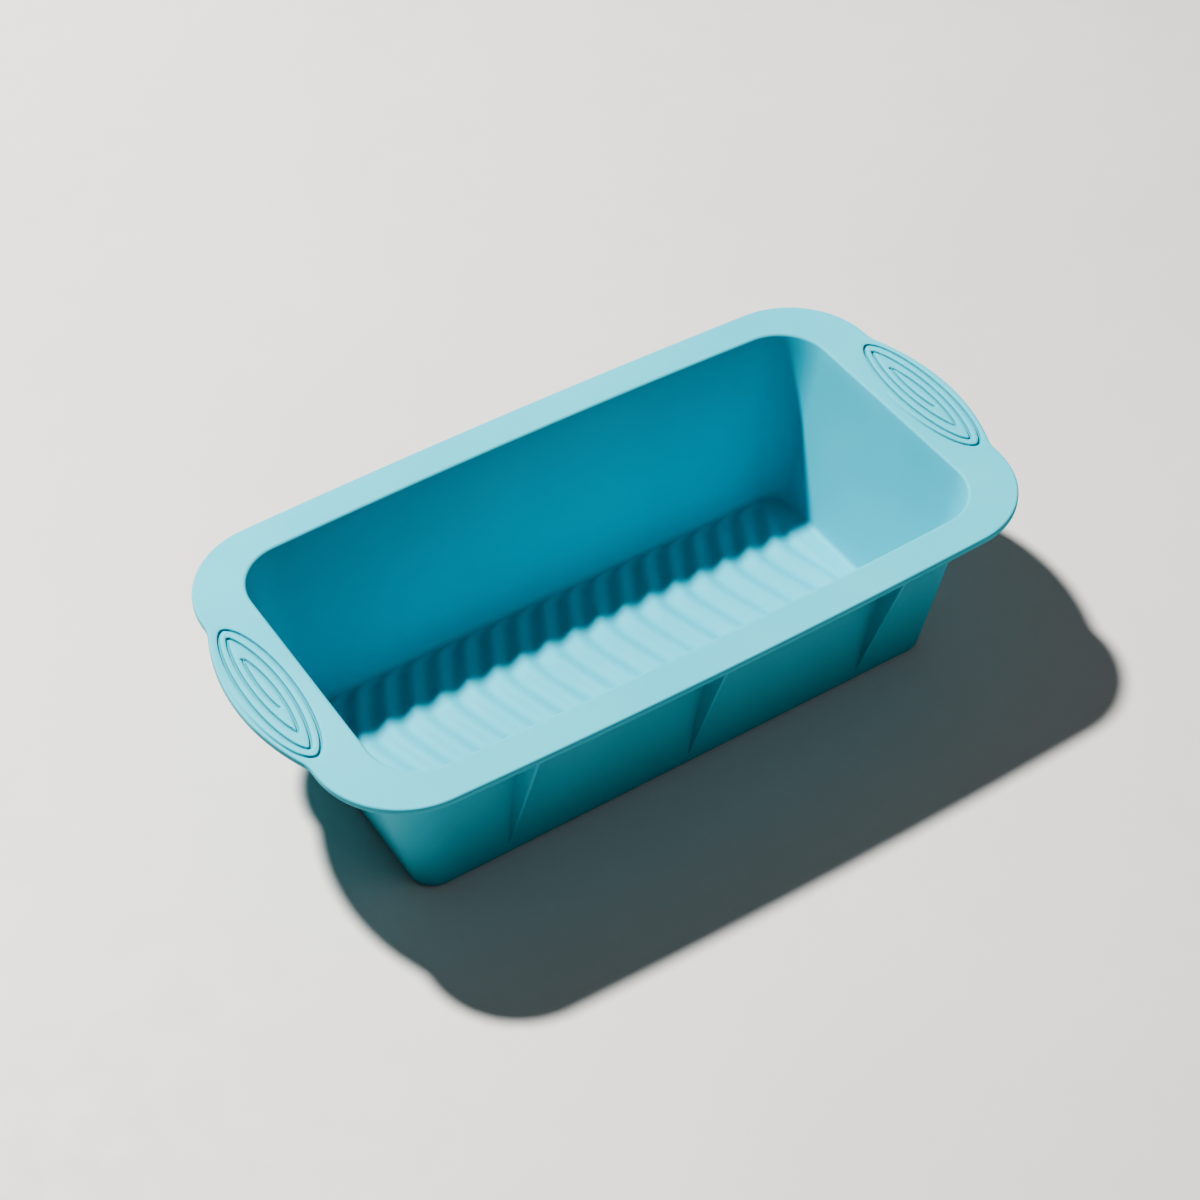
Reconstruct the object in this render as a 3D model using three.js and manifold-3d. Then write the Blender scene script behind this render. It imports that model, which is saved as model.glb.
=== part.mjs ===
// Silicone loaf pan: a tapered rectangular tub with a wide flat rim, two end handles and a ribbed floor.
// Millimetres, +X along the pan, +Y towards the back, +Z up. Origin on the base plane, at the pan's centre.
import * as THREE from 'three';
import { mergeVertices } from 'three/addons/utils/BufferGeometryUtils.js';
import Module from 'manifold-3d';

// ---- driving dimensions -------------------------------------------------------------------------
const HEIGHT = 72;
const WALL = 2;
const RIM_THICK = 2.8;
const RIM_EDGE_R = 0.7;
const RIM_LIP_R = 1;

// plan outlines: half length, half width at the middle of the side, corner radius, side bow
const OPENING = { a: 116.3, b: 58.2, r: 18.2, bow: 2.4 };
const CAVITY_FOOT = { a: 103, b: 45, r: 7, bow: 0.05 };
const RIM = { a: 134.6, b: 71.6, r: 32, bow: 2.8 };

// handles: a lobe that swells out of each end of the rim, joined to it by hollow blends
const HANDLE_REACH = 142.2;
const LOBE_R = 81;
const BLEND_R = 12;

// base: a flat band the pan stands on, with a ribbed panel inside it
const PANEL_THICK = 2.3;
const BASE_EDGE_R = 1.5;
const BASE_TOP = 6;
const FLOOR_FILLET_R = 1.2;
const PANEL_HALF_X = 97.5;
const PANEL_HALF_Y = 43.2;

// ribs: they run across the pan, die away at its sides and ends, and swing sideways as they go
const RIB_PITCH = 11.03;
const RIB_HEIGHT = 1.7;
const RIB_SIDE_FADE = 2;
const RIB_END_FADE = 5;
const RIB_PHASE = 2.7;
const SWING_MIDDLE = -0.29;
const SWING_SIDE = 0.54;
const TURN_FROM = 9;
const TURN_TO = 32;
const FLOOR_Z = PANEL_THICK + RIB_HEIGHT / 2;

// the walls and the rim are divided where the rounded corners begin
const CORNER_X = 96;
const CORNER_Y = 38;

// gussets under the rim
const GUSSET_PITCH = 72;
const GUSSET_TOP_THICK = 2;
const GUSSET_TIP_THICK = 1.4;
const GUSSET_RIM_SETBACK = 2.8;
const GUSSET_TIP_Z = 5.5;
const GUSSET_TIP_DEPTH = 0.5;
const GUSSET_GAP = 0.15;

// grip pattern: one groove winding outwards as a nest of leaf shapes
const GRIP_X = 130.6;
const GROOVE_WIDTH = 1;
const GROOVE_DEPTH = 1;
// each half turn: side of the centre line, start and end along Y, bulge, roundness of its ends
const HALF_TURNS = [
  { side: -1, from: -8, to: 17, bulge: 1.3, power: 0.8 },
  { side: 1, from: 17, to: -20, bulge: 2.6, power: 0.8 },
  { side: -1, from: -20, to: 27.8, bulge: 4.1, power: 0.75 },
  { side: 1, from: 27.8, to: -28, bulge: 5.6, power: 0.75 },
  { side: -1, from: -28, to: 31.8, bulge: 7.2, power: 0.6 },
  { side: 1, from: 31.8, to: -31.8, bulge: 8.6, power: 0.6 },
];

// points per quarter of an outline
const SIDE_STEPS = 8;
const CORNER_STEPS = 10;
const BLEND_STEPS = 4;
const LOBE_STEPS = 10;

// mesh of the ribbed panel: its columns follow the ribs and straighten out over the last stretch
const PANEL_COLUMNS = 120;
const PANEL_ROWS = 18;
const FADE_ROWS = 3;
const STRAIGHTEN_OVER = 25;

const SILICONE = { color: 0x8fcfdd, roughness: 0.55, metalness: 0 };

const wasm = await Module();
wasm.setup();

// ---- outlines -----------------------------------------------------------------------------------
function grown(outline, d) {
  return { a: outline.a + d, b: outline.b + d, r: outline.r + d, bow: outline.bow };
}

function mixed(p, q, t) {
  const mix = (key) => p[key] + (q[key] - p[key]) * t;
  return { a: mix('a'), b: mix('b'), r: mix('r'), bow: mix('bow') };
}

// The long side is a shallow arc and the corner an arc tangent to it and to the straight end.
function cornerOf({ a, b, r, bow }) {
  const sideR = (a * a + bow * bow) / (2 * bow);
  const sideY = b - sideR;
  const x = a - r;
  const y = sideY + Math.sqrt((sideR - r) ** 2 - x * x);
  return { x, y, sideR, sideY, lean: Math.atan2(x, y - sideY) };
}

function sideAndCorner(outline) {
  const c = cornerOf(outline);
  const points = [];
  for (let i = 0; i < SIDE_STEPS; i += 1) {
    const t = (c.lean * i) / SIDE_STEPS;
    points.push([c.sideR * Math.sin(t), c.sideY + c.sideR * Math.cos(t)]);
  }
  for (let i = 0; i <= CORNER_STEPS; i += 1) {
    const t = (Math.PI / 2 - c.lean) * (1 - i / CORNER_STEPS);
    points.push([c.x + outline.r * Math.cos(t), c.y + outline.r * Math.sin(t)]);
  }
  return points;
}

// Quarter of the end with its handle, from the rim's straight end round the blend to the lobe's tip.
function handleQuarter(d) {
  const lobeX = HANDLE_REACH - LOBE_R;
  const blendX = RIM.a + BLEND_R;
  const turn = Math.acos((blendX - lobeX) / (LOBE_R + BLEND_R));
  const blendY = (LOBE_R + BLEND_R) * Math.sin(turn);
  const points = [];
  for (let i = 0; i < BLEND_STEPS; i += 1) {
    const t = (turn * i) / BLEND_STEPS;
    points.push([blendX - (BLEND_R - d) * Math.cos(t), blendY - (BLEND_R - d) * Math.sin(t)]);
  }
  for (let i = 0; i <= LOBE_STEPS; i += 1) {
    const t = turn * (1 - i / LOBE_STEPS);
    points.push([lobeX + (LOBE_R + d) * Math.cos(t), (LOBE_R + d) * Math.sin(t)]);
  }
  return points;
}

const END_Y = handleQuarter(0).map(([, y]) => y);

function straightQuarter(outline) {
  const top = cornerOf(outline).y;
  return END_Y.map((y) => [outline.a, (y / END_Y[0]) * Math.min(top, END_Y[0])]);
}

// Mirrors a quarter (middle of the back side to middle of the right end) into a full anticlockwise loop.
function fullLoop(quarter) {
  const inner = quarter.slice(1, -1);
  const back = [...inner].reverse();
  return [
    quarter[quarter.length - 1],
    ...back,
    quarter[0],
    ...inner.map(([x, y]) => [-x, y]),
    [-quarter[quarter.length - 1][0], quarter[quarter.length - 1][1]],
    ...back.map(([x, y]) => [-x, -y]),
    [quarter[0][0], -quarter[0][1]],
    ...inner.map(([x, y]) => [x, -y]),
  ];
}

function tubLoop(outline) {
  return fullLoop([...sideAndCorner(outline), ...straightQuarter(outline)]);
}

function rimLoop(d) {
  return fullLoop([...sideAndCorner(grown(RIM, d)), ...handleQuarter(d)]);
}

function cavityAt(z) {
  return mixed(CAVITY_FOOT, OPENING, z / HEIGHT);
}

function outsideAt(z) {
  return grown(cavityAt(z), WALL);
}

const at = (loop, z) => loop.map(([x, y]) => [x, y, z]);

// ---- solids -------------------------------------------------------------------------------------
function geometryFrom(points, faces) {
  const geometry = new THREE.BufferGeometry();
  geometry.setAttribute('position', new THREE.Float32BufferAttribute(points.flat(), 3));
  geometry.setIndex(faces.flat());
  return geometry;
}

function solidOf(geometry) {
  const bare = geometry.clone();
  bare.deleteAttribute('normal');
  bare.deleteAttribute('uv');
  const merged = mergeVertices(bare, 1e-4);
  return new wasm.Manifold(new wasm.Mesh({
    numProp: 3,
    vertProperties: new Float32Array(merged.attributes.position.array),
    triVerts: new Uint32Array(dropSlivers(merged.index.array)),
  }));
}

function dropSlivers(index) {
  const kept = [];
  for (let i = 0; i < index.length; i += 3) {
    const [p, q, r] = [index[i], index[i + 1], index[i + 2]];
    if (p !== q && q !== r && r !== p) kept.push(p, q, r);
  }
  return kept;
}

function geometryOf(solid) {
  const mesh = solid.getMesh();
  const geometry = new THREE.BufferGeometry();
  geometry.setAttribute('position', new THREE.Float32BufferAttribute(mesh.vertProperties, 3));
  geometry.setIndex(Array.from(mesh.triVerts));
  return geometry;
}

// Closed ring-shaped body through a cycle of loops. The loops run down the outside and up the inside.
function ringBody(loops) {
  const n = loops[0].length;
  const faces = [];
  loops.forEach((_, k) => {
    const next = (k + 1) % loops.length;
    for (let i = 0; i < n; i += 1) {
      const j = (i + 1) % n;
      faces.push([k * n + i, next * n + i, next * n + j], [k * n + i, next * n + j, k * n + j]);
    }
  });
  return geometryFrom(loops.flat(), faces);
}

function block([x0, x1], [y0, y1], [z0, z1]) {
  const box = new THREE.BoxGeometry(x1 - x0, y1 - y0, z1 - z0);
  box.translate((x0 + x1) / 2, (y0 + y1) / 2, (z0 + z1) / 2);
  return solidOf(box);
}

// ---- the pan's parts ----------------------------------------------------------------------------
function wallRing() {
  const top = HEIGHT - RIM_THICK;
  return solidOf(ringBody([
    at(tubLoop(outsideAt(top)), top),
    at(tubLoop(outsideAt(BASE_TOP)), BASE_TOP),
    at(tubLoop(cavityAt(BASE_TOP)), BASE_TOP),
    at(tubLoop(cavityAt(top)), top),
  ]));
}

function rimRing() {
  const under = HEIGHT - RIM_THICK;
  const lip = HEIGHT - RIM_LIP_R;
  const arc = (t) => 1 - Math.sin(t);
  return solidOf(ringBody([
    at(rimLoop(-RIM_EDGE_R), HEIGHT),
    at(rimLoop(-RIM_EDGE_R * arc(Math.PI / 4)), HEIGHT - RIM_EDGE_R * arc(Math.PI / 4)),
    at(rimLoop(0), HEIGHT - RIM_EDGE_R),
    at(rimLoop(0), under + RIM_EDGE_R),
    at(rimLoop(-RIM_EDGE_R * arc(Math.PI / 4)), under + RIM_EDGE_R * arc(Math.PI / 4)),
    at(rimLoop(-RIM_EDGE_R), under),
    at(tubLoop(cavityAt(under)), under),
    at(tubLoop(cavityAt(lip)), lip),
    at(tubLoop(grown(OPENING, RIM_LIP_R * arc(Math.PI / 4))), HEIGHT - RIM_LIP_R * arc(Math.PI / 4)),
    at(tubLoop(grown(OPENING, RIM_LIP_R)), HEIGHT),
  ]));
}

// Flat band round the floor panel, turned up into the foot of the walls.
function baseBand() {
  const edge = BASE_EDGE_R * (1 - Math.SQRT1_2);
  const fillet = FLOOR_FILLET_R * (1 - Math.SQRT1_2);
  const filletTop = FLOOR_Z + FLOOR_FILLET_R;
  const panel = tubLoop(cavityAt(0)).map(([x, y]) => [
    THREE.MathUtils.clamp(x, -PANEL_HALF_X, PANEL_HALF_X),
    THREE.MathUtils.clamp(y, -PANEL_HALF_Y, PANEL_HALF_Y),
  ]);
  return ringBody([
    at(tubLoop(outsideAt(BASE_TOP)), BASE_TOP),
    at(tubLoop(outsideAt(BASE_EDGE_R)), BASE_EDGE_R),
    at(tubLoop(grown(outsideAt(0), -edge)), edge),
    at(tubLoop(grown(outsideAt(0), -BASE_EDGE_R)), 0),
    at(panel, 0),
    at(panel, FLOOR_Z),
    at(tubLoop(grown(cavityAt(FLOOR_Z), -FLOOR_FILLET_R)), FLOOR_Z),
    at(tubLoop(grown(cavityAt(FLOOR_Z), -fillet)), FLOOR_Z + fillet),
    at(tubLoop(cavityAt(filletTop)), filletTop),
    at(tubLoop(cavityAt(BASE_TOP)), BASE_TOP),
  ]);
}

// Sideways position of the ribs at a distance from the centre line: the slope turns over on its way out.
function ribShift(y) {
  const turn = TURN_TO - TURN_FROM;
  const t = Math.max(0, (Math.abs(y) - TURN_FROM) / turn);
  const eased = t < 1 ? t ** 3 - t ** 4 / 2 : t - 0.5;
  const swing = SWING_MIDDLE * Math.abs(y) + (SWING_SIDE - SWING_MIDDLE) * turn * eased;
  return RIB_PHASE + Math.sign(y) * swing;
}

// Rise and fall of the ribs about the flat of the floor.
function ribLift(x, y) {
  const wave = Math.cos((2 * Math.PI * (x - ribShift(y))) / RIB_PITCH);
  const sides = THREE.MathUtils.smoothstep(PANEL_HALF_Y - Math.abs(y), 0, RIB_SIDE_FADE);
  const ends = THREE.MathUtils.smoothstep(PANEL_HALF_X - Math.abs(x), 0, RIB_END_FADE);
  return (RIB_HEIGHT / 2) * wave * sides * ends;
}

function evenly(from, to, steps) {
  return Array.from({ length: steps + 1 }, (_, i) => from + ((to - from) * i) / steps);
}

// Corrugated sheet of even thickness, ribbed above and below. Its columns follow the swing of the ribs
// and straighten out towards the ends.
function ribbedPanel() {
  const xs = evenly(-PANEL_HALF_X, PANEL_HALF_X, PANEL_COLUMNS);
  const inside = PANEL_HALF_Y - RIB_SIDE_FADE;
  const ys = [
    ...evenly(-PANEL_HALF_Y, -inside, FADE_ROWS),
    ...evenly(-inside, inside, PANEL_ROWS).slice(1, -1),
    ...evenly(inside, PANEL_HALF_Y, FADE_ROWS),
  ];
  const follow = (x) => Math.min(1, (PANEL_HALF_X - Math.abs(x)) / STRAIGHTEN_OVER);
  const points = [];
  const faces = [];
  [FLOOR_Z, FLOOR_Z - PANEL_THICK].forEach((level) => {
    xs.forEach((column) => ys.forEach((y) => {
      const x = column + ribShift(y) * follow(column);
      points.push([x, y, level + ribLift(x, y)]);
    }));
  });
  const layer = xs.length * ys.length;
  const index = (i, j) => i * ys.length + j;
  const quad = (p, q, r, s) => faces.push([p, q, r], [p, r, s]);
  for (let i = 0; i < xs.length - 1; i += 1) {
    for (let j = 0; j < ys.length - 1; j += 1) {
      const [p, q, r, s] = [index(i, j), index(i + 1, j), index(i + 1, j + 1), index(i, j + 1)];
      quad(p, q, r, s);
      quad(s + layer, r + layer, q + layer, p + layer);
    }
  }
  const last = [xs.length - 1, ys.length - 1];
  for (let i = 0; i < last[0]; i += 1) {
    const [p, q] = [index(i, 0), index(i + 1, 0)];
    const [r, s] = [index(i, last[1]), index(i + 1, last[1])];
    quad(q, p, p + layer, q + layer);
    quad(r, s, s + layer, r + layer);
  }
  for (let j = 0; j < last[1]; j += 1) {
    const [p, q] = [index(0, j), index(0, j + 1)];
    const [r, s] = [index(last[0], j), index(last[0], j + 1)];
    quad(p, q, q + layer, p + layer);
    quad(s, r, r + layer, s + layer);
  }
  return geometryFrom(points, faces);
}

// Distance of the tub's outer face from the centre plane on a long side.
function outsideY(x, z) {
  const outline = outsideAt(z);
  const { sideR, sideY } = cornerOf(outline);
  return sideY + Math.sqrt(sideR * sideR - x * x);
}

// Triangular web under the rim, thicker at the top, running down the wall to a thin tip.
function gusset(x, side) {
  const top = HEIGHT - RIM_THICK;
  const rimY = cornerOf(RIM).sideY + Math.sqrt(cornerOf(RIM).sideR ** 2 - x * x);
  const levels = [
    { z: top, half: GUSSET_TOP_THICK / 2, outer: rimY - GUSSET_RIM_SETBACK },
    {
      z: GUSSET_TIP_Z,
      half: GUSSET_TIP_THICK / 2,
      outer: outsideY(x, GUSSET_TIP_Z) + GUSSET_GAP + GUSSET_TIP_DEPTH,
    },
  ];
  const points = levels.flatMap(({ z, half, outer }) => {
    const inner = outsideY(Math.abs(x) - half, z) + GUSSET_GAP;
    return [
      [x - half, inner, z],
      [x + half, inner, z],
      [x + half, outer, z],
      [x - half, outer, z],
    ];
  });
  const quads = [[0, 1, 2, 3], [7, 6, 5, 4], [0, 4, 5, 1], [1, 5, 6, 2], [2, 6, 7, 3], [3, 7, 4, 0]];
  const faces = quads.flatMap(([p, q, r, s]) => [[p, q, r], [p, r, s]]);
  const turned = faces.map(([p, q, r]) => (side > 0 ? [p, q, r] : [p, r, q]));
  return geometryFrom(points.map(([px, py, pz]) => [px, side * py, pz]), turned);
}

// ---- grip groove --------------------------------------------------------------------------------
function gripPath() {
  const points = [];
  HALF_TURNS.forEach(({ side, from, to, bulge, power }, k) => {
    const steps = 8 + 2 * k;
    for (let i = k === 0 ? 0 : 1; i <= steps; i += 1) {
      const u = -Math.cos((Math.PI * i) / steps);
      const y = (from + to) / 2 + (u * (to - from)) / 2;
      points.push(new THREE.Vector2(side * bulge * Math.max(0, 1 - u * u) ** power, y));
    }
  });
  return points;
}

// Ribbon of the groove's width that follows the path, as a closed body standing through the rim's top.
function grooveCutter(centreX) {
  const path = gripPath();
  const points = [];
  const faces = [];
  path.forEach((p, i) => {
    const before = path[Math.max(0, i - 1)];
    const after = path[Math.min(path.length - 1, i + 1)];
    const along = after.clone().sub(before).normalize();
    const across = new THREE.Vector2(-along.y, along.x).multiplyScalar(GROOVE_WIDTH / 2);
    [HEIGHT - GROOVE_DEPTH, HEIGHT + 1].forEach((z) => {
      points.push([centreX + p.x - across.x, p.y - across.y, z]);
      points.push([centreX + p.x + across.x, p.y + across.y, z]);
    });
  });
  const quad = (p, q, r, s) => faces.push([p, q, r], [p, r, s]);
  // each station holds: right low, left low, right high, left high
  for (let i = 0; i < path.length - 1; i += 1) {
    const k = 4 * i;
    quad(k + 1, k + 5, k + 4, k);
    quad(k + 2, k + 6, k + 7, k + 3);
    quad(k, k + 4, k + 6, k + 2);
    quad(k + 3, k + 7, k + 5, k + 1);
  }
  const end = 4 * (path.length - 1);
  quad(0, 2, 3, 1);
  quad(end + 1, end + 3, end + 2, end);
  return solidOf(geometryFrom(points, faces));
}

// ---- assembly -----------------------------------------------------------------------------------
const pan = new THREE.Group();
pan.name = 'loaf_pan';

function add(name, geometry) {
  const mesh = new THREE.Mesh(geometry, new THREE.MeshStandardMaterial(SILICONE));
  mesh.name = name;
  geometry.computeVertexNormals();
  pan.add(mesh);
}

const FAR = 200;
const ALL_Z = [-10, HEIGHT + 10];
const ENDS = { left: -1, right: 1 };
const SIDES = { front: -1, back: 1 };
const span = (sign, from, to) => (sign > 0 ? [from, to] : [-to, -from]);

add('base_band', baseBand());
add('ribbed_floor', ribbedPanel());

const walls = wallRing();
const rim = rimRing();

Object.entries(SIDES).forEach(([sideName, side]) => {
  const middle = block([-CORNER_X, CORNER_X], span(side, 0, FAR), ALL_Z);
  add(`wall_${sideName}`, geometryOf(walls.intersect(middle)));
  add(`rim_${sideName}`, geometryOf(rim.intersect(middle)));
  Object.entries(ENDS).forEach(([endName, end]) => {
    const corner = block(span(end, CORNER_X, FAR), span(side, CORNER_Y, FAR), ALL_Z);
    add(`wall_corner_${sideName}_${endName}`, geometryOf(walls.intersect(corner)));
    add(`rim_corner_${sideName}_${endName}`, geometryOf(rim.intersect(corner)));
  });
  [-1, 0, 1].forEach((step, i) => {
    add(`gusset_${sideName}_${i + 1}`, gusset(step * GUSSET_PITCH, side));
  });
});

Object.entries(ENDS).forEach(([endName, end]) => {
  const middle = block(span(end, CORNER_X, FAR), [-CORNER_Y, CORNER_Y], ALL_Z);
  add(`wall_${endName}`, geometryOf(walls.intersect(middle)));
  const plate = rim.intersect(middle);
  add(`handle_${endName}`, geometryOf(plate.subtract(grooveCutter(end * GRIP_X))));
});

export default pan;
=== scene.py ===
import math

import bmesh
import bpy
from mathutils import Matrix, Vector, kdtree
from mathutils.geometry import delaunay_2d_cdt


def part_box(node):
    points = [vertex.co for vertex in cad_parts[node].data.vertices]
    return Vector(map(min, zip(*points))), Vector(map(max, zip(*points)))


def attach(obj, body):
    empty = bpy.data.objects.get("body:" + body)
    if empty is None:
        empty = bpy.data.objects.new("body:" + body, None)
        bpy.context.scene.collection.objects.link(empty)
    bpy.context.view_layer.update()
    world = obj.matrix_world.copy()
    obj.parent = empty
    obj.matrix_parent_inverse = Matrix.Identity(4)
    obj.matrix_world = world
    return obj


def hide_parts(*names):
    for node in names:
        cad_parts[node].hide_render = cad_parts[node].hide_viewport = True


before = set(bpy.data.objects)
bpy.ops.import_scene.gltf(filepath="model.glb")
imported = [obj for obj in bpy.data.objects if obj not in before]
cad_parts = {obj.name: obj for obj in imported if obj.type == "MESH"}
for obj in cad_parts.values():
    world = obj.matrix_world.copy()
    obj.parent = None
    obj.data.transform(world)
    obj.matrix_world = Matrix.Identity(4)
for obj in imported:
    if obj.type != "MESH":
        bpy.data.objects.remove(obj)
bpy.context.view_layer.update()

MM = 0.001

# ---- driving dimensions, in metres, from the frame's boxes ---------------------------------------
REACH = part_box("handle_right")[1][0]
RIM_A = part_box("rim_corner_back_right")[1][0]
RIM_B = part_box("rim_back")[1][1]
UNDER, HEIGHT = (corner[2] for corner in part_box("rim_back"))
BASE_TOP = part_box("base_band")[1][2]
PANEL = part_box("ribbed_floor")[1]
WEB_X = sum(corner[0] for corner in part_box("gusset_back_3")) / 2
WEB_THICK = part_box("gusset_back_3")[1][0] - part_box("gusset_back_3")[0][0]
WEB_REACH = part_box("gusset_back_2")[1][1]
WEB_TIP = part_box("gusset_back_2")[0][2]

WALL = 2 * MM
# the floor panel is a corrugated sheet: it rises and falls about the flat of the floor
PANEL_THICK = 2.3 * MM
RIB_HEIGHT = PANEL[2] - PANEL_THICK
FLOOR = PANEL_THICK + RIB_HEIGHT / 2
RIB_PITCH = 11.03 * MM
RIB_SIDE_FADE = 2 * MM
RIB_END_FADE = 5 * MM
# the ribs swing sideways: slope near the centre line, slope near the sides, and where it turns over
RIB_PHASE = 2.7 * MM
SWING_MIDDLE, SWING_SIDE = -0.29, 0.54
TURN_FROM, TURN_TO = 9 * MM, 32 * MM

RIM_CORNER_R, RIM_BOW = 32 * MM, 2.8 * MM
OPENING_CORNER_R, OPENING_BOW = 18.2 * MM, 2.4 * MM
FOOT_CORNER_R, FOOT_BOW = 7 * MM, 0.05 * MM
LOBE_R = 81 * MM
BLEND_R = 12 * MM

# roundings, the flat hold beside each one, and the small step under the floor panel
EDGE_R = 0.8 * MM
LIP_R = 1.2 * MM
FLOOR_FILLET_R = 2.2 * MM
UNDER_RIM_R = 1.5 * MM
BASE_EDGE_R = 1.5 * MM
HOLD = 0.25 * MM
FLARE_R = 0.4 * MM
PANEL_CORNER_R = 3 * MM
STEP_HALF = 0.4 * MM

# webs: what each one is sunk into its neighbours, and how it narrows to its tip and its free edge
WEB_SINK = 1 * MM
WEB_TIP_LOSS = 1 / 3
WEB_EDGE_LOSS = 0.3
WEB_EDGE_ROUND = 0.45

GRIP_X = 130.6 * MM
GROOVE_DEPTH = 0.9 * MM
GROOVE_HALF_WIDTH = 0.42 * MM
GROOVE_SLOPE = 0.26 * MM
CROWN_DEPTH = 0.22 * MM
CROWN_REACH = 1.7 * MM
PAD_HALF_X, PAD_HALF_Y = 10.9 * MM, 33 * MM
# each half turn of the grip groove: side, start and end along Y, bulge (all mm), roundness of its ends
HALF_TURNS = (
    (-1, -8, 17, 1.3, 0.8),
    (1, 17, -20, 2.6, 0.8),
    (-1, -20, 27.8, 4.1, 0.75),
    (1, 27.8, -28, 5.6, 0.75),
    (-1, -28, 31.8, 7.2, 0.6),
    (1, 31.8, -31.8, 8.6, 0.55),
    (-1, -31.8, 33, 10.1, 0.55),
)
# the last half turn runs out to nothing between these two places along Y
FADE_FROM, FADE_TO = -29 * MM, 13 * MM

# points per quarter of an outline
SIDE_STEPS = 40
CORNER_STEPS = 22
BLEND_STEPS = 8
LOBE_STEPS = 26

# density of the rest of the mesh
ROUNDING_STEPS = 6
RIM_EDGE_STEPS = 5
FOOT_STEP_STEPS = 8
WEB_ROUND_STEPS = 4
WALL_STEPS = 12
WEB_LEVELS = 28
WEB_DEPTH_STEPS = 9
RIM_GRID = 2.4 * MM
RIM_GRID_CLEARANCE = 2.6 * MM
GROOVE_LOOKUP_STEP = 0.08 * MM
GROOVE_MESH_STEP = 0.45 * MM
GROOVE_POINT_GAP = 0.11 * MM
HALF_TURN_SAMPLES = 300
RIB_COLUMN_STEP = RIB_PITCH / 14
RIB_ROW_STEP = 1.2 * MM
PANEL_MARGIN = 0.6 * MM
FARTHEST_SHIFT = 12 * MM
BORDER_GAP = 0.25 * MM
MERGE_DISTANCE = 1e-9

# linear colours, each surface mottled between two of them
SILICONE_COLOURS = (0.073, 0.445, 0.55), (0.09, 0.485, 0.59)
# painted shade: the colour that the bottom of the grip groove is darkened towards
GROOVE_PAINTED_SHADE = (0.05, 0.31, 0.38)
TABLE_COLOURS = (0.56, 0.55, 0.535), (0.6, 0.59, 0.575)
KEY_COLOUR = (1.0, 0.97, 0.93)
SKY_COLOUR = (0.97, 0.98, 1.0)
# the deepest that a vertex can lie, in groove depths, and still belong to the grip pattern and take its
# painted shade
GROOVE_LIMIT = 1.3
TABLE_DROP = 0.1 * MM

# the photo's own camera, seen from its target on the rim's plane
CAMERA_AZIMUTH, CAMERA_ELEVATION = math.radians(-33.1), math.radians(45.8)
CAMERA_DISTANCE = 0.825
CAMERA_TARGET = (-0.0207, -0.0236, HEIGHT)
LENS_MM, SENSOR_MM = 75.7, 36


# ---- outlines: half length, half width at the middle, corner radius, side bow --------------------
def mixed(p, q, t):
    return tuple(a + (b - a) * t for a, b in zip(p, q))


def grown(outline, d):
    a, b, r, bow = outline
    return (a + d, b + d, r + d, bow)


def wall_line(axis, low_node, high_node):
    """The tub's outside half size at z = 0 and at the rim's top, from two nodes' boxes."""
    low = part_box(low_node)[1][axis]
    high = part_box(high_node)[1][axis]
    slope = (high - low) / (UNDER - BASE_TOP)
    return low - slope * BASE_TOP, high + slope * (HEIGHT - UNDER), slope


FOOT_A, TOP_A, SLOPE = wall_line(0, "base_band", "wall_right")
FOOT_B, TOP_B, _ = wall_line(1, "base_band", "wall_back")
CAVITY_FOOT = (FOOT_A - WALL, FOOT_B - WALL, FOOT_CORNER_R, FOOT_BOW)
OPENING = (TOP_A - WALL, TOP_B - WALL, OPENING_CORNER_R, OPENING_BOW)
RIM = (RIM_A, RIM_B, RIM_CORNER_R, RIM_BOW)
TAPER = math.atan(SLOPE)


def cavity_at(z):
    return mixed(CAVITY_FOOT, OPENING, z / HEIGHT)


def outside_at(z):
    return grown(cavity_at(z), WALL)


def side_arc(outline):
    """Radius and centre height of the shallow arc along the long side, and the corner arc's centre."""
    a, b, r, bow = outline
    side_r = (a * a + bow * bow) / (2 * bow)
    side_y = b - side_r
    corner_x = a - r
    corner_y = side_y + math.sqrt((side_r - r) ** 2 - corner_x**2)
    return side_r, side_y, corner_x, corner_y


def side_and_corner(outline):
    side_r, side_y, corner_x, corner_y = side_arc(outline)
    lean = math.atan2(corner_x, corner_y - side_y)
    r = outline[2]
    points = []
    for i in range(SIDE_STEPS):
        t = lean * i / SIDE_STEPS
        points.append((side_r * math.sin(t), side_y + side_r * math.cos(t)))
    for i in range(CORNER_STEPS + 1):
        t = (math.pi / 2 - lean) * (1 - i / CORNER_STEPS)
        points.append((corner_x + r * math.cos(t), corner_y + r * math.sin(t)))
    return points


def handle_quarter(d):
    """From the rim's straight end round the hollow blend to the tip of the handle's lobe."""
    lobe_x = REACH - LOBE_R
    blend_x = RIM_A + BLEND_R
    turn = math.acos((blend_x - lobe_x) / (LOBE_R + BLEND_R))
    blend_y = (LOBE_R + BLEND_R) * math.sin(turn)
    points = []
    for i in range(BLEND_STEPS):
        t = turn * i / BLEND_STEPS
        points.append((blend_x - (BLEND_R - d) * math.cos(t), blend_y - (BLEND_R - d) * math.sin(t)))
    for i in range(LOBE_STEPS + 1):
        t = turn * (1 - i / LOBE_STEPS)
        points.append((lobe_x + (LOBE_R + d) * math.cos(t), (LOBE_R + d) * math.sin(t)))
    return points


END_Y = [y for _, y in handle_quarter(0)]


def straight_quarter(outline):
    top = min(side_arc(outline)[3], END_Y[0])
    return [(outline[0], y / END_Y[0] * top) for y in END_Y]


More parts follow.
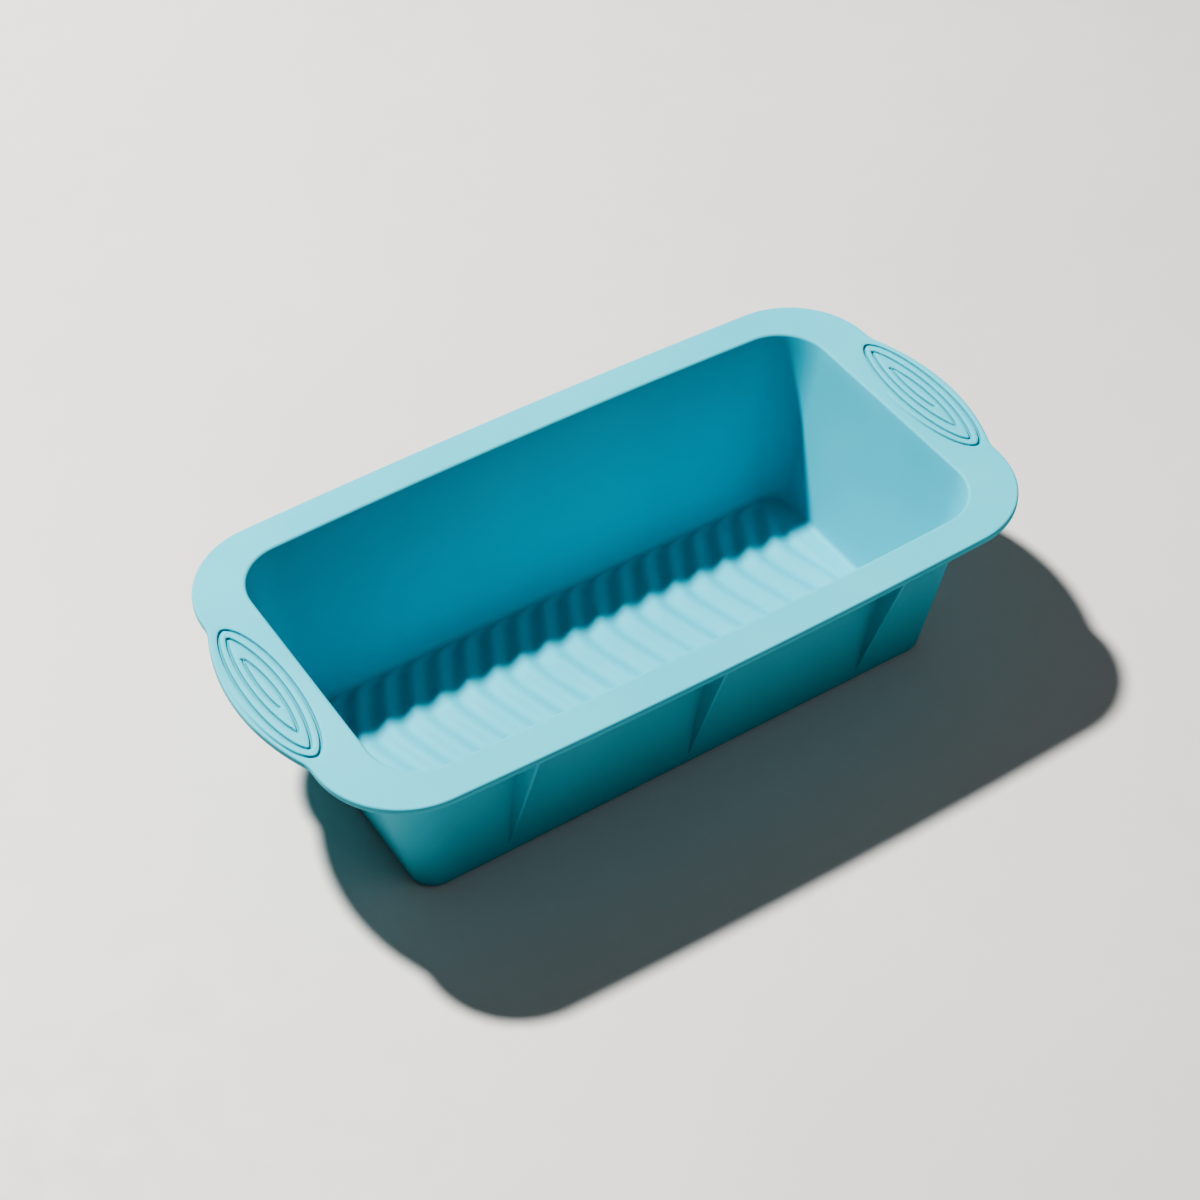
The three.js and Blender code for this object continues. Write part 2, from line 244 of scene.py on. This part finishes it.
def full_loop(quarter):
    """Mirrors a quarter, from the middle of the back to the middle of the right end, into a loop."""
    inner = quarter[1:-1]
    back = inner[::-1]
    (x0, y0), (x1, y1) = quarter[0], quarter[-1]
    return (
        [(x1, y1)] + back + [(x0, y0)] + [(-x, y) for x, y in inner]
        + [(-x1, y1)] + [(-x, -y) for x, y in back] + [(x0, -y0)] + [(x, -y) for x, y in inner]
    )


def tub_loop(outline):
    return full_loop(side_and_corner(outline) + straight_quarter(outline))


def rim_loop(d):
    return full_loop(side_and_corner(grown(RIM, d)) + handle_quarter(d))


def rounding(outline, level, radius, outward, upward):
    """Loops of an arc between a level face and the tapered wall, from the level face to the wall."""
    sweep = math.pi / 2 - TAPER
    reach = radius * math.tan(sweep / 2)
    loops = []
    for i in range(ROUNDING_STEPS + 1):
        t = sweep * i / ROUNDING_STEPS
        offset = reach - radius * math.sin(t)
        z = level + upward * radius * (1 - math.cos(t))
        loops.append((tub_loop(grown(outline, outward * offset)), z))
    hold = (tub_loop(grown(outline, outward * (reach + HOLD))), level)
    return [hold] + loops


# ---- height of the floor and of the grip pattern -------------------------------------------------
def smooth(t):
    t = min(1.0, max(0.0, t))
    return t * t * (3 - 2 * t)


def rib_shift(y):
    """How far the ribs have swung sideways at this distance from the centre line."""
    turn = TURN_TO - TURN_FROM
    t = max(0.0, (abs(y) - TURN_FROM) / turn)
    eased = t**3 - t**4 / 2 if t < 1 else t - 0.5
    swing = SWING_MIDDLE * abs(y) + (SWING_SIDE - SWING_MIDDLE) * turn * eased
    return RIB_PHASE + (swing if y > 0 else -swing)


def rib_lift(x, y):
    wave = math.cos(2 * math.pi * (x - rib_shift(y)) / RIB_PITCH)
    sides = smooth((PANEL[1] - abs(y)) / RIB_SIDE_FADE)
    ends = smooth((PANEL[0] - abs(x)) / RIB_END_FADE)
    return RIB_HEIGHT / 2 * wave * sides * ends


def grip_path(step):
    """Evenly spaced points of the groove round the handle's own centre, each with its strength."""
    dense = []
    for turn, (side, start, end, bulge, power) in enumerate(HALF_TURNS, start=1):
        for i in range(HALF_TURN_SAMPLES):
            u = -math.cos(math.pi * i / HALF_TURN_SAMPLES)
            y = (start + end) / 2 + u * (end - start) / 2
            point = Vector((side * bulge * (1 - u * u) ** power, y)) * MM
            last = turn == len(HALF_TURNS)
            strength = 1 - smooth((point.y - FADE_FROM) / (FADE_TO - FADE_FROM)) if last else 1
            dense.append((point, strength))
    path = [dense[0]]
    for point, strength in dense[1:]:
        if (point - path[-1][0]).length >= step and strength > 0:
            path.append((point, strength))
    return path


class GripPattern:
    """Depth of the groove near one handle, and the points where the rim's mesh has to be fine."""

    OFFSETS = tuple(d * MM for d in (0, 0.15, 0.28, 0.35, 0.42, 0.49, 0.57, 0.8, 1.2, 1.7))

    def __init__(self, centre_x):
        self.centre = Vector((centre_x, 0))
        fine = grip_path(GROOVE_LOOKUP_STEP)
        self.tree = kdtree.KDTree(len(fine))
        self.strengths = [strength for _, strength in fine]
        for i, (point, _) in enumerate(fine):
            self.tree.insert((point.x + centre_x, point.y, 0), i)
        self.tree.balance()

    def depth(self, x, y):
        _, nearest, distance = self.tree.find((x, y, 0))
        edge = (GROOVE_HALF_WIDTH - distance) / GROOVE_SLOPE + 0.5
        crown = smooth(1 - distance / CROWN_REACH)
        return self.strengths[nearest] * (GROOVE_DEPTH * smooth(edge) + CROWN_DEPTH * crown)

    def points(self):
        path = [point for point, _ in grip_path(GROOVE_MESH_STEP)]
        found = []
        for before, point, after in zip(path, path[1:], path[2:]):
            along = (after - before).normalized()
            across = Vector((-along.y, along.x))
            for offset in self.OFFSETS:
                for sign in (1, -1) if offset else (1,):
                    found.append(tuple(self.centre + point + across * (sign * offset)))
        return thinned(found, GROOVE_POINT_GAP)


def far_from(patterns, x, y):
    """Whether a point of the coarse grid is clear of the groove's own fine mesh."""
    return patterns[1 if x > 0 else -1].tree.find((x, y, 0))[2] > RIM_GRID_CLEARANCE


def thinned(points, spacing):
    """Drops points that lie closer together than the spacing."""
    cells = {}
    for x, y in points:
        key = (round(x / spacing), round(y / spacing))
        cells.setdefault(key, (x, y))
    return list(cells.values())


# ---- mesh building -------------------------------------------------------------------------------
class Skin:
    """One closed surface, built from rings of vertices and from flat or lifted patches."""

    def __init__(self):
        self.bm = bmesh.new()

    def ring(self, loop, z):
        return [self.bm.verts.new((x, y, z)) for x, y in loop]

    def band(self, first, second):
        n = len(first)
        for i in range(n):
            j = (i + 1) % n
            self.bm.faces.new((first[i], first[j], second[j], second[i]))

    def bands(self, loops):
        """Joins a run of loops and returns the first and last rings."""
        rings = [self.ring(loop, z) for loop, z in loops]
        for first, second in zip(rings, rings[1:]):
            self.band(first, second)
        return rings[0], rings[-1]

    def patch(self, outer, inner, points, height):
        """Fills the space inside the outer ring and outside the inner one, through the given points."""
        verts = list(outer) + list(inner)
        border = kdtree.KDTree(len(verts))
        for i, vert in enumerate(verts):
            border.insert((vert.co.x, vert.co.y, 0), i)
        border.balance()
        points = [p for p in points if border.find((*p, 0))[2] > BORDER_GAP]
        edges = ring_edges(0, len(outer)) + ring_edges(len(outer), len(inner))
        flat = [Vector((v.co.x, v.co.y)) for v in verts] + [Vector(p) for p in points]
        coords, _, faces, origins, _, _ = delaunay_2d_cdt(flat, edges, [], 0, MERGE_DISTANCE)
        made = {}
        for index, source in enumerate(origins):
            if source and source[0] < len(verts):
                made[index] = verts[source[0]]
        outer_loop = [(v.co.x, v.co.y) for v in outer]
        inner_loop = [(v.co.x, v.co.y) for v in inner]
        for face in faces:
            x = sum(coords[i].x for i in face) / len(face)
            y = sum(coords[i].y for i in face) / len(face)
            if not inside(outer_loop, x, y) or (inner_loop and inside(inner_loop, x, y)):
                continue
            for i in face:
                if i not in made:
                    px, py = coords[i]
                    made[i] = self.bm.verts.new((px, py, height(px, py)))
            self.bm.faces.new([made[i] for i in face])

    def store(self, mesh):
        """Keeps how deep each vertex lies in the grip groove, for the material's painted groove shade.
        """
        depth = mesh.attributes.new("groove_depth", "FLOAT", "POINT")
        for vert in mesh.vertices:
            sunk = (HEIGHT - vert.co.z) / GROOVE_DEPTH
            in_pad = abs(abs(vert.co.x) - GRIP_X) < PAD_HALF_X and abs(vert.co.y) < PAD_HALF_Y
            depth.data[vert.index].value = sunk if in_pad and sunk < GROOVE_LIMIT else 0.0

    def finish(self, name):
        bmesh.ops.recalc_face_normals(self.bm, faces=self.bm.faces)
        for face in self.bm.faces:
            face.smooth = True
        mesh = bpy.data.meshes.new(name)
        self.bm.to_mesh(mesh)
        self.bm.free()
        self.store(mesh)
        piece = bpy.data.objects.new(name, mesh)
        bpy.context.collection.objects.link(piece)
        return piece


def ring_edges(start, count):
    return [(start + i, start + (i + 1) % count) for i in range(count)]


def inside(loop, x, y):
    hit = False
    x0, y0 = loop[-1]
    for x1, y1 in loop:
        if (y1 > y) != (y0 > y) and x < (x0 - x1) * (y - y1) / (y0 - y1) + x1:
            hit = not hit
        x0, y0 = x1, y1
    return hit


def grid_points(half_x, half_y, step_x, step_y):
    nx = int(half_x / step_x)
    ny = int(half_y / step_y)
    return [(i * step_x, j * step_y) for i in range(-nx, nx + 1) for j in range(-ny, ny + 1)]


def rib_points():
    """Points of the floor's mesh, in rows across the pan that follow the ribs."""
    rows = grid_points(PANEL[0] + FARTHEST_SHIFT, PANEL[1], RIB_COLUMN_STEP, RIB_ROW_STEP)
    followed = [(x + rib_shift(y), y) for x, y in rows]
    return [(x, y) for x, y in followed if abs(x) < PANEL[0] + PANEL_MARGIN]


def walls(line, low, high):
    """Loops up or down a tapered wall, between the roundings at its two ends."""
    levels = [low + (high - low) * i / WALL_STEPS for i in range(1, WALL_STEPS)]
    return [(tub_loop(line(z)), z) for z in levels]


def rim_edge():
    """Loops round the rim's outer edge, from its top face to its underside."""
    loops = [(rim_loop(-EDGE_R - HOLD), HEIGHT)]
    for middle, start in ((HEIGHT - EDGE_R, math.pi / 2), (UNDER + EDGE_R, 0)):
        for i in range(RIM_EDGE_STEPS + 1):
            t = start - math.pi / 2 * i / RIM_EDGE_STEPS
            loops.append((rim_loop(EDGE_R * (math.cos(t) - 1)), middle + EDGE_R * math.sin(t)))
    return loops + [(rim_loop(-EDGE_R - HOLD), UNDER)]


def foot_step():
    """Loops of the small step from the flat foot up to the underside of the ribbed panel."""
    outline = (PANEL[0], PANEL[1], PANEL_CORNER_R, FOOT_BOW)
    rise = FLOOR - PANEL_THICK
    loops = []
    for i in range(FOOT_STEP_STEPS + 1):
        t = i / FOOT_STEP_STEPS
        loops.append((tub_loop(grown(outline, STEP_HALF * (1 - 2 * t))), rise * smooth(t)))
    return loops


def moulding():
    """The whole pan except its webs, as one closed skin."""
    skin = Skin()
    floor_fillet = rounding(cavity_at(FLOOR), FLOOR, FLOOR_FILLET_R, -1, 1)
    lip = rounding(cavity_at(HEIGHT), HEIGHT, LIP_R, 1, -1)[::-1]
    inside_wall = walls(cavity_at, floor_fillet[-1][1], lip[0][1])
    floor_ring, lip_ring = skin.bands(floor_fillet + inside_wall + lip)

    under_rim = rounding(outside_at(UNDER), UNDER, UNDER_RIM_R, 1, -1)
    base_edge = rounding(outside_at(0), 0, BASE_EDGE_R, -1, 1)[::-1]
    outside_wall = walls(outside_at, under_rim[-1][1], base_edge[0][1])
    rim_ring, panel_ring = skin.bands(rim_edge() + under_rim + outside_wall + base_edge + foot_step())

    patterns = {side: GripPattern(side * GRIP_X) for side in (-1, 1)}
    grid = grid_points(REACH, RIM_B, RIM_GRID, RIM_GRID)
    coarse = [(x, y) for x, y in grid if far_from(patterns, x, y)]
    grip_points = coarse + [point for pattern in patterns.values() for point in pattern.points()]
    skin.patch(
        rim_ring,
        lip_ring,
        grip_points,
        lambda x, y: HEIGHT - patterns[1 if x > 0 else -1].depth(x, y),
    )
    ribs = rib_points()
    skin.patch(floor_ring, [], ribs, lambda x, y: FLOOR + rib_lift(x, y))
    skin.patch(panel_ring, [], ribs, lambda x, y: FLOOR - PANEL_THICK + rib_lift(x, y))
    return skin.finish("pan_moulding")


def wall_face(x, z):
    """Distance of the tub's outer face from the centre plane on a long side."""
    side_r, side_y, _, _ = side_arc(outside_at(z))
    return side_y + math.sqrt(side_r**2 - x * x)


def flare(distance):
    """Extra half thickness of a web close to the face that it grows from."""
    gap = FLARE_R - min(FLARE_R, max(0.0, distance))
    return FLARE_R - math.sqrt(FLARE_R**2 - gap**2)


def web(x, side, name):
    """Triangular web under the rim, its root and top sunk into the wall and the rim."""
    skin = Skin()
    rings = []
    for i in range(WEB_LEVELS + 1):
        t = i / WEB_LEVELS
        z = WEB_TIP - WEB_SINK + (UNDER + WEB_SINK - WEB_TIP) * t
        drop = max(0.0, (UNDER - z) / (UNDER - WEB_TIP))
        root = wall_face(x, z)
        outer = WEB_REACH + (wall_face(x, WEB_TIP) - WEB_REACH) * drop
        half = WEB_THICK / 2 * (1 - drop * WEB_TIP_LOSS)
        section = web_section(root, outer, half)
        rings.append([skin.bm.verts.new((x + px, side * py, z)) for px, py in section])
    for first, second in zip(rings, rings[1:]):
        skin.band(first, second)
    skin.bm.faces.new(rings[0])
    skin.bm.faces.new(rings[-1])
    return skin.finish(name)


def web_section(root, outer, half):
    """Plan section: wide where it leaves the wall, then straight, with a rounded free edge."""
    edge_r = half * WEB_EDGE_ROUND
    start = root - WEB_SINK
    depth = outer - edge_r - start
    right = []
    for i in range(WEB_DEPTH_STEPS + 1):
        t = i / WEB_DEPTH_STEPS
        y = start + depth * t**1.6
        right.append((half * (1 - WEB_EDGE_LOSS * t) + flare(y - root), y))
    edge_x = right[-1][0] - edge_r
    for i in range(1, WEB_ROUND_STEPS + 1):
        t = math.pi / 2 * i / WEB_ROUND_STEPS
        right.append((edge_x + edge_r * math.cos(t), outer - edge_r + edge_r * math.sin(t)))
    return right + [(-px, py) for px, py in reversed(right)]


# ---- materials -----------------------------------------------------------------------------------
class Nodes:
    """A material's node tree, with short calls to add and join nodes."""

    def __init__(self, name):
        self.material = bpy.data.materials.new(name)
        self.material.use_nodes = True
        self.tree = self.material.node_tree
        self.shader = self.tree.nodes["Principled BSDF"]
        self.place = self.add("ShaderNodeTexCoord").outputs["Object"]

    def add(self, kind, **settings):
        node = self.tree.nodes.new(kind)
        for key, value in settings.items():
            setattr(node, key, value)
        return node

    def join(self, source, target):
        self.tree.links.new(source, target)

    def noise(self, scale, detail=3.0, rough=0.5):
        node = self.add("ShaderNodeTexNoise")
        node.inputs["Scale"].default_value = scale
        node.inputs["Detail"].default_value = detail
        node.inputs["Roughness"].default_value = rough
        self.join(self.place, node.inputs["Vector"])
        return node.outputs["Fac"]

    def spread(self, value, low, high, out_low, out_high):
        node = self.add("ShaderNodeMapRange")
        limits = {"From Min": low, "From Max": high, "To Min": out_low, "To Max": out_high}
        for key, number in limits.items():
            node.inputs[key].default_value = number
        self.join(value, node.inputs["Value"])
        return node.outputs["Result"]

    def blend(self, factor, first, second):
        node = self.add("ShaderNodeMix", data_type="RGBA")
        self.join(factor, node.inputs["Factor"])
        for key, value in (("A", first), ("B", second)):
            socket = next(s for s in node.inputs if s.name == key and s.type == "RGBA")
            if isinstance(value, tuple):
                socket.default_value = (*value, 1)
            else:
                self.join(value, socket)
        return next(s for s in node.outputs if s.type == "RGBA")

    def bump(self, height, strength, distance, normal=None):
        node = self.add("ShaderNodeBump")
        node.inputs["Strength"].default_value = strength
        node.inputs["Distance"].default_value = distance
        self.join(height, node.inputs["Height"])
        if normal is not None:
            self.join(normal, node.inputs["Normal"])
        return node.outputs["Normal"]


def silicone():
    """Satin blue silicone, with painted shade darkening it where the vertices lie in the grip groove.
    """
    nodes = Nodes("blue_silicone")
    shader = nodes.shader
    cloud = nodes.spread(nodes.noise(14, 4), 0.35, 0.65, 0, 1)
    mottled = nodes.blend(cloud, *SILICONE_COLOURS)
    groove = nodes.add("ShaderNodeAttribute", attribute_name="groove_depth").outputs["Fac"]
    # painted shade: the colour darkens with depth in the grip groove
    colour = nodes.blend(nodes.spread(groove, 0.15, 0.9, 0, 1), mottled, GROOVE_PAINTED_SHADE)
    nodes.join(colour, shader.inputs["Base Color"])
    satin = nodes.spread(nodes.noise(55, 5), 0.3, 0.7, 0.6, 0.72)
    nodes.join(satin, shader.inputs["Roughness"])
    shader.inputs["IOR"].default_value = 1.41
    shader.inputs["Specular IOR Level"].default_value = 0.4
    shader.inputs["Subsurface Weight"].default_value = 0.15
    shader.inputs["Subsurface Radius"].default_value = (0.5, 1.0, 1.2)
    shader.inputs["Subsurface Scale"].default_value = MM
    wave = nodes.bump(nodes.noise(30, 2), 0.25, 0.4 * MM)
    grain = nodes.bump(nodes.noise(2200, 3), 0.22, 0.05 * MM, wave)
    nodes.join(grain, shader.inputs["Normal"])
    return nodes.material


def table_paint():
    nodes = Nodes("pale_table")
    cloud = nodes.spread(nodes.noise(3, 3), 0.3, 0.7, 0, 1)
    shader = nodes.shader
    nodes.join(nodes.blend(cloud, *TABLE_COLOURS), shader.inputs["Base Color"])
    nodes.join(nodes.spread(nodes.noise(60, 4), 0.3, 0.7, 0.5, 0.62), shader.inputs["Roughness"])
    nodes.join(nodes.bump(nodes.noise(900, 3), 0.1, 0.05 * MM), shader.inputs["Normal"])
    return nodes.material


# ---- pieces --------------------------------------------------------------------------------------
def build_pan():
    """The moulding and its six webs, each riding the pan's one body and taking over its nodes."""
    finish = silicone()
    body = moulding()
    shell_nodes = [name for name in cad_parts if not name.startswith("gusset_")]
    pieces = [(body, shell_nodes)]
    for side_name, side in (("front", -1), ("back", 1)):
        for i, step in enumerate((-1, 0, 1), start=1):
            piece = web(step * WEB_X, side, f"web_{side_name}_{i}")
            pieces.append((piece, [f"gusset_{side_name}_{i}"]))
    for piece, node_names in pieces:
        piece.data.materials.append(finish)
        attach(piece, "root")
        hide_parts(*node_names)


def build_floor():
    """The studio's table top, just under the foot so that the two faces never share a plane."""
    bm = bmesh.new()
    bmesh.ops.create_grid(bm, x_segments=8, y_segments=8, size=4)
    mesh = bpy.data.meshes.new("studio_floor")
    bm.to_mesh(mesh)
    bm.free()
    floor = bpy.data.objects.new("studio_floor", mesh)
    floor.location.z = -TABLE_DROP
    floor.data.materials.append(table_paint())
    bpy.context.collection.objects.link(floor)


# ---- camera and light ----------------------------------------------------------------------------
def aim(thing, place, target):
    thing.location = place
    thing.rotation_euler = (Vector(place) - Vector(target)).to_track_quat("Z", "Y").to_euler()
    bpy.context.collection.objects.link(thing)


def area_light(name, place, size, power, colour):
    data = bpy.data.lights.new(name, "AREA")
    data.shape = "DISK"
    data.size = size
    data.energy = power
    data.color = colour
    aim(bpy.data.objects.new(name, data), place, (0, 0, HEIGHT / 2))


def build_camera():
    target = Vector(CAMERA_TARGET)
    back = Vector((
        math.sin(CAMERA_AZIMUTH) * math.cos(CAMERA_ELEVATION),
        -math.cos(CAMERA_AZIMUTH) * math.cos(CAMERA_ELEVATION),
        math.sin(CAMERA_ELEVATION),
    ))
    data = bpy.data.cameras.new("camera")
    data.lens = LENS_MM
    data.sensor_width = SENSOR_MM
    data.clip_start = 0.01
    camera = bpy.data.objects.new("camera", data)
    aim(camera, target + back * CAMERA_DISTANCE, target)
    bpy.context.scene.camera = camera


def build_light():
    area_light("key", (-0.45, 0.91, 1.72), 0.14, 82, KEY_COLOUR)
    area_light("fill", (0.9, -1.3, 1.5), 1.6, 4.6, SKY_COLOUR)
    world = bpy.data.worlds.new("studio")
    world.use_nodes = True
    background = world.node_tree.nodes["Background"]
    background.inputs["Color"].default_value = (*SKY_COLOUR, 1)
    background.inputs["Strength"].default_value = 0.11
    scene = bpy.context.scene
    scene.world = world
    scene.view_settings.view_transform = "AgX"
    scene.view_settings.look = "AgX - High Contrast"
    scene.view_settings.exposure = -0.1


build_camera()
build_light()
build_floor()
build_pan()
